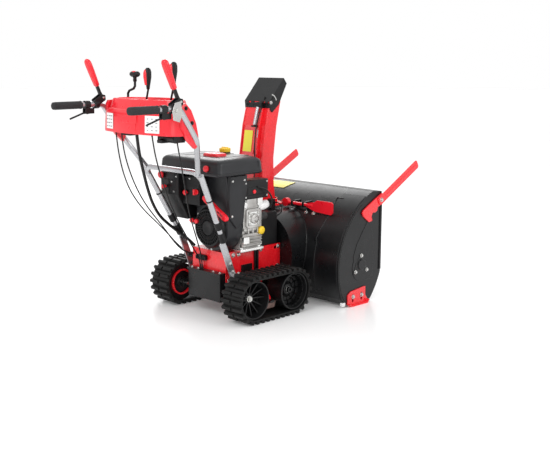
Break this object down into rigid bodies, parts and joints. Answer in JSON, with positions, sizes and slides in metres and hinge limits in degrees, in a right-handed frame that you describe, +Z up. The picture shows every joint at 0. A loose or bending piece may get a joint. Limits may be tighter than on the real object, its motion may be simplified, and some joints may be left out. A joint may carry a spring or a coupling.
{
  "type": "two stage snowblower",
  "caption": "Self-propelled two stage snowblower on rubber tracks, with auger bucket, impeller, turning chute, petrol engine, handles and control console.",
  "frame": {"origin": "centre of the machine's footprint on the ground", "axes": "+Y forward, towards the bucket; +X to the operator's right; +Z up"},
  "size_m": [0.8406, 1.7271, 1.1856],
  "materials": {
    "bucket_black": "satin black paint",
    "red_paint": "gloss red paint",
    "red_plastic": "moulded red plastic",
    "auger_black": "black paint",
    "steel": "zinc plated",
    "cast_iron": "painted casting",
    "frame_black": "black paint",
    "track_rubber": "moulded tread rubber",
    "wheel_plastic": "moulded black plastic",
    "black_plastic": "moulded dark grey plastic",
    "belt_rubber": "black rubber",
    "engine_cast": "as cast",
    "muffler_steel": "heat-proof black",
    "tube_silver": "silver lacquer",
    "grip_rubber": "ribbed grip rubber",
    "lever_red": "red coated lever",
    "trigger_black": "black plastic",
    "cap_yellow": "yellow plastic"
  },
  "bodies": {
    "root": {"bucket_barrel": "bucket_black", "side_plates": "bucket_black", "scraper_bar": "steel", "impeller_housing": "bucket_black", "bucket_fittings": "red_paint", "auger_gearbox": "cast_iron", "cutter_brackets": "red_paint", "chassis": "red_paint", "rear_cover": "frame_black", "track_frames": "frame_black", "track_belts": "track_rubber", "belt_cover": "black_plastic", "drive_belt": "belt_rubber", "engine_block": "engine_cast", "muffler": "muffler_steel", "fan_housing": "black_plastic", "recoil_cover": "black_plastic", "fuel_tank": "black_plastic", "control_box": "black_plastic", "starter_box": "black_plastic", "lower_handle": "tube_silver", "upper_handles": "tube_silver", "handle_clamps": "frame_black", "grips": "grip_rubber", "console": "red_plastic", "control_brackets": "steel", "control_cables": "belt_rubber", "hex_bolts": "steel"},
    "auger": {"auger_shaft": "steel", "auger_flights": "auger_black"},
    "impeller_rotor": {"impeller": "auger_black", "impeller_shaft": "steel"},
    "engine_rotor": {"crankshaft": "steel", "flywheel": "cast_iron"},
    "chute": {"chute": "red_paint"},
    "deflector": {"deflector": "bucket_black"},
    "drive_wheel_left": {"drive_wheel_left": "wheel_plastic"},
    "drive_wheel_right": {"drive_wheel_right": "wheel_plastic"},
    "idler_wheel_left": {"idler_wheel_left": "wheel_plastic"},
    "idler_wheel_right": {"idler_wheel_right": "wheel_plastic"},
    "skid_shoe_left": {"skid_shoe_left": "red_paint"},
    "skid_shoe_right": {"skid_shoe_right": "red_paint"},
    "drift_cutter_left": {"drift_cutter_left": "red_paint"},
    "drift_cutter_right": {"drift_cutter_right": "red_paint"},
    "cleanout_tool": {"cleanout_tool": "red_plastic"},
    "fuel_cap": {"fuel_cap": "cap_yellow"},
    "oil_cap": {"oil_cap": "cap_yellow"},
    "choke_knob": {"choke_knob": "red_plastic"},
    "throttle_lever": {"throttle_lever": "black_plastic"},
    "primer_bulb": {"primer_bulb": "red_plastic"},
    "ignition_key": {"ignition_key": "red_plastic"},
    "start_button": {"start_button": "red_plastic"},
    "recoil_handle": {"recoil_handle": "red_plastic"},
    "clutch_lever_left": {"clutch_lever_left": "lever_red"},
    "clutch_lever_right": {"clutch_lever_right": "lever_red"},
    "steering_trigger_left": {"steering_trigger_left": "trigger_black"},
    "steering_trigger_right": {"steering_trigger_right": "trigger_black"},
    "chute_crank": {"chute_crank": "frame_black"},
    "speed_lever": {"speed_lever": "lever_red"},
    "deflector_lever": {"deflector_lever": "lever_red"}
  },
  "joints": [
    {"name": "auger_spin", "type": "hinge", "parent": "root", "child": "auger", "pos_m": [0, 0.42844, 0.195], "axis": [1, 0, 0], "continuous": true},
    {"name": "impeller_spin", "type": "hinge", "parent": "root", "child": "impeller_rotor", "pos_m": [0, 0.24344, 0.245], "axis": [0, 1, 0], "continuous": true},
    {"name": "engine_spin", "type": "hinge", "parent": "root", "child": "engine_rotor", "pos_m": [0.045, -0.05656, 0.416], "axis": [0, 1, 0], "continuous": true},
    {"name": "chute_rotation", "type": "hinge", "parent": "root", "child": "chute", "pos_m": [-0.085, 0.23144, 0.462], "axis": [0, 0, 1], "range_deg": [-100, 100]},
    {"name": "deflector_tilt", "type": "hinge", "parent": "chute", "child": "deflector", "pos_m": [-0.085, 0.20444, 0.971], "axis": [1, 0, 0], "range_deg": [-35, 25]},
    {"name": "left_track_drive", "type": "hinge", "parent": "root", "child": "drive_wheel_left", "pos_m": [-0.24, -0.19756, 0.111], "axis": [1, 0, 0], "continuous": true},
    {"name": "left_idler_spin", "type": "hinge", "parent": "root", "child": "idler_wheel_left", "pos_m": [-0.24, 0.06044, 0.111], "axis": [1, 0, 0], "continuous": true},
    {"name": "left_skid_height", "type": "slide", "parent": "root", "child": "skid_shoe_left", "axis": [0, 0, 1], "range_m": [-0.008, 0.02]},
    {"name": "left_cutter_angle", "type": "hinge", "parent": "root", "child": "drift_cutter_left", "pos_m": [-0.412, 0.56344, 0.5], "axis": [1, 0, 0], "range_deg": [-20, 60]},
    {"name": "right_track_drive", "type": "hinge", "parent": "root", "child": "drive_wheel_right", "pos_m": [0.24, -0.19756, 0.111], "axis": [1, 0, 0], "continuous": true},
    {"name": "right_idler_spin", "type": "hinge", "parent": "root", "child": "idler_wheel_right", "pos_m": [0.24, 0.06044, 0.111], "axis": [1, 0, 0], "continuous": true},
    {"name": "right_skid_height", "type": "slide", "parent": "root", "child": "skid_shoe_right", "axis": [0, 0, 1], "range_m": [-0.008, 0.02]},
    {"name": "right_cutter_angle", "type": "hinge", "parent": "root", "child": "drift_cutter_right", "pos_m": [0.412, 0.56344, 0.5], "axis": [1, 0, 0], "range_deg": [-20, 60]},
    {"name": "cleanout_tool_lift", "type": "slide", "parent": "root", "child": "cleanout_tool", "axis": [0, 0, 1], "range_m": [0, 0.08]},
    {"name": "fuel_cap_turn", "type": "hinge", "parent": "root", "child": "fuel_cap", "pos_m": [-0.014, -0.08656, 0.746], "axis": [0, 0, 1], "range_deg": [0, 120]},
    {"name": "dipstick_pull", "type": "slide", "parent": "root", "child": "oil_cap", "axis": [1, 0, 0], "range_m": [0, 0.06]},
    {"name": "choke_pull", "type": "slide", "parent": "root", "child": "choke_knob", "axis": [0, -1, 0], "range_m": [0, 0.012]},
    {"name": "throttle_swing", "type": "hinge", "parent": "root", "child": "throttle_lever", "pos_m": [-0.168, -0.29056, 0.596], "axis": [1, 0, 0], "range_deg": [-18, 18]},
    {"name": "primer_press", "type": "slide", "parent": "root", "child": "primer_bulb", "axis": [0, 1, 0], "range_m": [0, 0.005], "stiffness_N_per_m": 600},
    {"name": "key_turn", "type": "hinge", "parent": "root", "child": "ignition_key", "pos_m": [0.009, -0.28456, 0.583], "axis": [0, 1, 0], "range_deg": [0, 80]},
    {"name": "start_button_press", "type": "slide", "parent": "root", "child": "start_button", "axis": [-1, 0, 0], "range_m": [0, 0.004], "stiffness_N_per_m": 800},
    {"name": "recoil_pull", "type": "slide", "parent": "root", "child": "recoil_handle", "axis": [1, 0, 0], "range_m": [0, 0.4], "stiffness_N_per_m": 40},
    {"name": "drive_clutch_lever", "type": "hinge", "parent": "root", "child": "clutch_lever_left", "pos_m": [-0.265, -0.60656, 1.013], "axis": [1, 0, 0], "range_deg": [0, 63], "stiffness_Nm_per_rad": 1.5, "springref_deg": -20.05},
    {"name": "left_steering_trigger", "type": "hinge", "parent": "root", "child": "steering_trigger_left", "pos_m": [-0.265, -0.68856, 0.953], "axis": [1, 0, 0], "range_deg": [-20, 0], "stiffness_Nm_per_rad": 0.6, "springref_deg": 11.46},
    {"name": "auger_clutch_lever", "type": "hinge", "parent": "root", "child": "clutch_lever_right", "pos_m": [0.265, -0.60656, 1.013], "axis": [1, 0, 0], "range_deg": [0, 63], "stiffness_Nm_per_rad": 1.5, "springref_deg": -20.05},
    {"name": "right_steering_trigger", "type": "hinge", "parent": "root", "child": "steering_trigger_right", "pos_m": [0.265, -0.68856, 0.953], "axis": [1, 0, 0], "range_deg": [-20, 0], "stiffness_Nm_per_rad": 0.6, "springref_deg": 11.46},
    {"name": "chute_crank_turn", "type": "hinge", "parent": "root", "child": "chute_crank", "pos_m": [-0.214, -0.49656, 1], "axis": [0, 0, 1], "range_deg": [-500, 500]},
    {"name": "speed_shift", "type": "hinge", "parent": "root", "child": "speed_lever", "pos_m": [-0.058, -0.51656, 0.906], "axis": [1, 0, 0], "range_deg": [-18, 18]},
    {"name": "deflector_lever_tilt", "type": "hinge", "parent": "root", "child": "deflector_lever", "pos_m": [0.088, -0.50056, 0.906], "axis": [1, 0, 0], "range_deg": [-18, 13]}
  ],
  "couplings": [
    {"joint": "impeller_spin", "follows": "auger_spin", "ratio": 10},
    {"joint": "left_idler_spin", "follows": "left_track_drive", "ratio": 1},
    {"joint": "right_idler_spin", "follows": "right_track_drive", "ratio": 1},
    {"joint": "chute_crank_turn", "follows": "chute_rotation", "ratio": 5},
    {"joint": "deflector_lever_tilt", "follows": "deflector_tilt", "ratio": 0.5}
  ]
}
